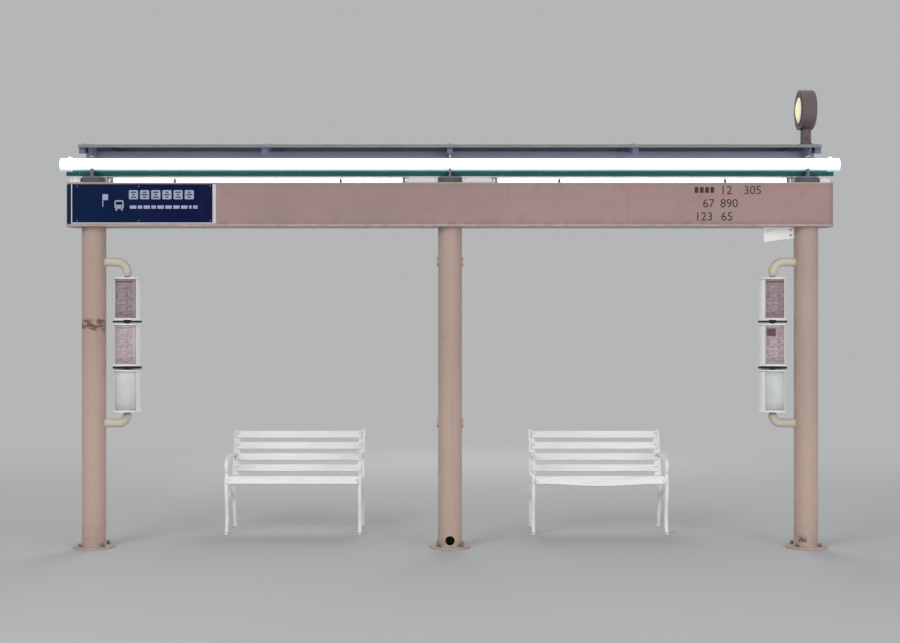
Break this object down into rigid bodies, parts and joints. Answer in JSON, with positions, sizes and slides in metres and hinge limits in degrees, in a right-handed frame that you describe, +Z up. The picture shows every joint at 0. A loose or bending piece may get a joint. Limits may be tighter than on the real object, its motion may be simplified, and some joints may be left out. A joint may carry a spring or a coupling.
{
  "type": "bus shelter",
  "caption": "Open street shelter: round posts, deep sign beam, long round light, arched roof over slatted benches, and turning timetable drums at the end posts.",
  "frame": {"origin": "middle of the centre post's base flange, on the ground", "axes": "+X along the kerb, to the right as seen from the road; +Y away from the road, under the roof; +Z up"},
  "size_m": [5.376, 1.59, 3.157],
  "materials": {
    "post_paint": "satin",
    "beam_paint": "satin",
    "panel_blue": "satin",
    "light_diffuser": "translucent",
    "light_caps": "opal",
    "roof_frame": "satin",
    "roof_edge": "satin",
    "roof_sheet": "gloss",
    "batten_white": "gloss",
    "batten_lamp": "opal",
    "bracket_cream": "satin",
    "spindle_steel": "brushed",
    "drum_white": "satin",
    "knee_white": "satin",
    "roof_lamp_case": "satin",
    "roof_lamp_lens": "opal",
    "bench_iron": "painted gloss",
    "bench_slats": "painted satin"
  },
  "bodies": {
    "shelter": {"back_name_panel": "panel_blue", "centre_post": "post_paint", "centre_roof_arm": "roof_frame", "centre_roof_rib": "roof_frame", "front_name_panel": "panel_blue", "knee_plate": "knee_white", "left_batten": "batten_white", "left_batten_lamp": "batten_lamp", "left_bench_left_frame": "bench_iron", "left_bench_right_frame": "bench_iron", "left_bench_slats": "bench_slats", "left_drum_spindle": "spindle_steel", "left_end_roof_rib": "roof_frame", "left_lower_bracket": "bracket_cream", "left_middle_roof_rib": "roof_frame", "left_post": "post_paint", "left_roof_arm": "roof_frame", "left_roof_sheets": "roof_sheet", "left_tube_cap": "light_caps", "left_upper_bracket": "bracket_cream", "light_tube": "light_diffuser", "right_batten": "batten_white", "right_batten_lamp": "batten_lamp", "right_bench_left_frame": "bench_iron", "right_bench_right_frame": "bench_iron", "right_bench_slats": "bench_slats", "right_drum_spindle": "spindle_steel", "right_end_roof_rib": "roof_frame", "right_lower_bracket": "bracket_cream", "right_middle_roof_rib": "roof_frame", "right_post": "post_paint", "right_roof_arm": "roof_frame", "right_roof_sheets": "roof_sheet", "right_tube_cap": "light_caps", "right_upper_bracket": "bracket_cream", "roof_front_edge": "roof_edge", "roof_front_rail": "roof_frame", "roof_lamp_housing": "roof_lamp_case", "roof_lamp_lens": "roof_lamp_lens", "roof_lamp_stem": "roof_lamp_case", "roof_rear_edge": "roof_edge", "roof_rear_rail": "roof_frame", "sign_beam": "beam_paint"},
    "left_lower_drum": {"left_lower_drum": "drum_white"},
    "left_middle_drum": {"left_middle_drum": "drum_white"},
    "left_upper_drum": {"left_upper_drum": "drum_white"},
    "right_lower_drum": {"right_lower_drum": "drum_white"},
    "right_middle_drum": {"right_middle_drum": "drum_white"},
    "right_upper_drum": {"right_upper_drum": "drum_white"}
  },
  "joints": [
    {"name": "left_lower_drum_spin", "type": "hinge", "parent": "shelter", "child": "left_lower_drum", "pos_m": [-2.23, 0, 0.938], "axis": [0, 0, 1], "continuous": true},
    {"name": "left_middle_drum_spin", "type": "hinge", "parent": "shelter", "child": "left_middle_drum", "pos_m": [-2.23, 0, 1.255], "axis": [0, 0, 1], "continuous": true},
    {"name": "left_upper_drum_spin", "type": "hinge", "parent": "shelter", "child": "left_upper_drum", "pos_m": [-2.23, 0, 1.572], "axis": [0, 0, 1], "continuous": true},
    {"name": "right_lower_drum_spin", "type": "hinge", "parent": "shelter", "child": "right_lower_drum", "pos_m": [2.23, 0, 0.938], "axis": [0, 0, 1], "continuous": true},
    {"name": "right_middle_drum_spin", "type": "hinge", "parent": "shelter", "child": "right_middle_drum", "pos_m": [2.23, 0, 1.255], "axis": [0, 0, 1], "continuous": true},
    {"name": "right_upper_drum_spin", "type": "hinge", "parent": "shelter", "child": "right_upper_drum", "pos_m": [2.23, 0, 1.572], "axis": [0, 0, 1], "continuous": true}
  ]
}
